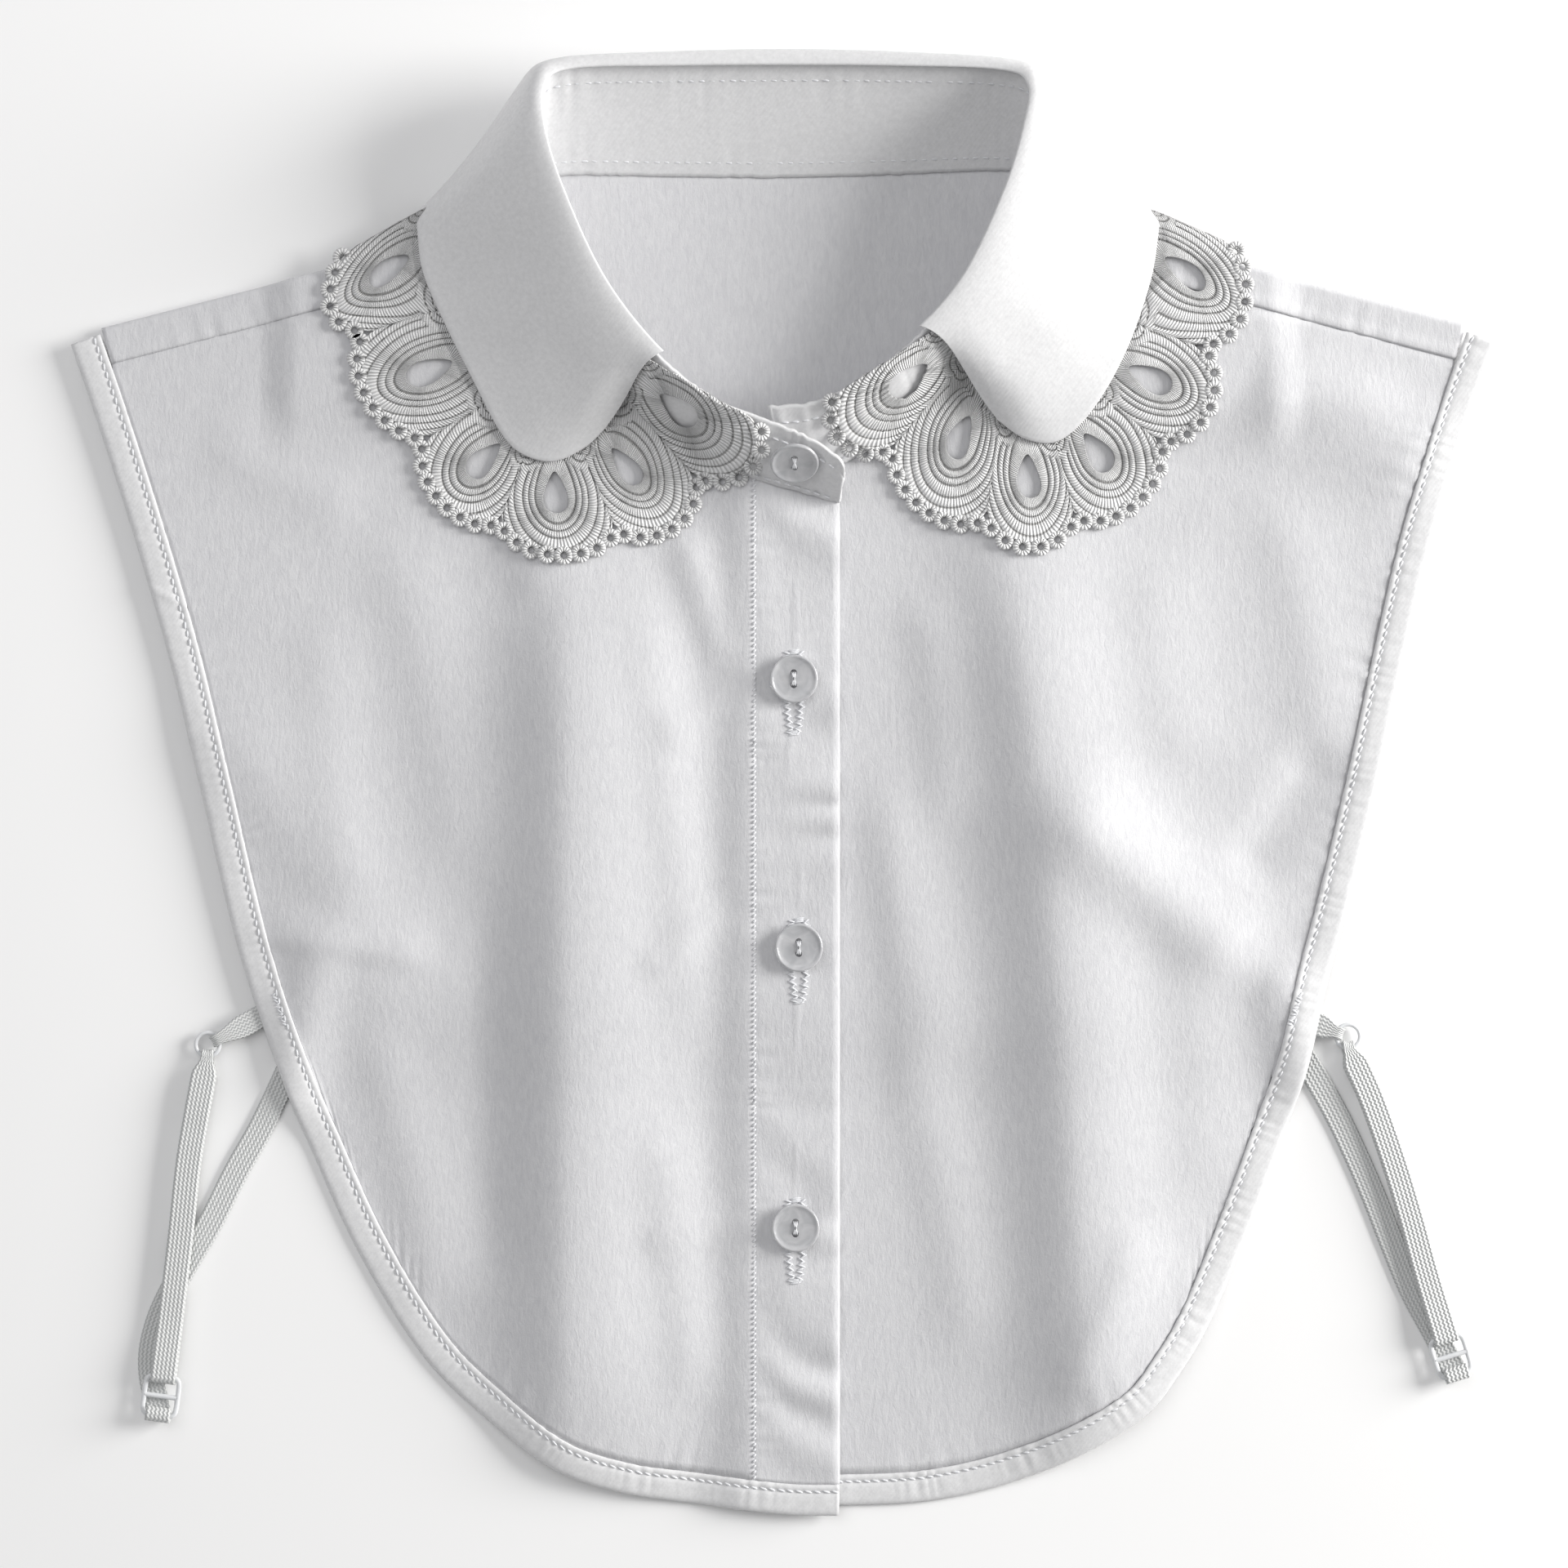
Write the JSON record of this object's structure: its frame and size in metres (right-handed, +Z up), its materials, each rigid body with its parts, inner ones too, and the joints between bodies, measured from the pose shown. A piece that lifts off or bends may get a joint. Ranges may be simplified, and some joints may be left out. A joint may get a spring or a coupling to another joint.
{
  "type": "lace-edged false collar",
  "caption": "Detachable false blouse collar laid flat: buttoned bib fronts, back panel, stand collar with a guipure lace edge, and elastic side straps.",
  "frame": {"origin": "middle of the footprint, on the surface that the collar lies on", "axes": "+Y from hem to nape, +X to the side that is on the right seen from above, +Z up from the surface"},
  "size_m": [0.3475, 0.3562, 0.0267],
  "materials": {
    "crepe": "white crepe, dull",
    "satin": "white satin, soft sheen",
    "lace": "white guipure embroidery",
    "button": "pearly resin",
    "elastic": "ribbed white elastic",
    "hardware": "white coating"
  },
  "bodies": {
    "root": {"back_panel": "crepe", "front_left": "crepe", "front_right": "crepe", "placket": "crepe", "binding_left": "satin", "binding_right": "satin", "binding_back": "satin", "collar_stand": "satin", "collar_leaf": "satin", "lace_left": "lace", "lace_right": "lace", "lace_back": "lace", "button_collar": "button", "button_1": "button", "button_2": "button", "button_3": "button", "tab_left": "elastic", "tab_right": "elastic", "ring_left": "hardware", "ring_right": "hardware", "slider_left": "hardware", "slider_right": "hardware", "strap_loop_left": "elastic", "strap_loop_right": "elastic", "strap_back_left": "elastic", "strap_back_right": "elastic"}
  },
  "joints": []
}
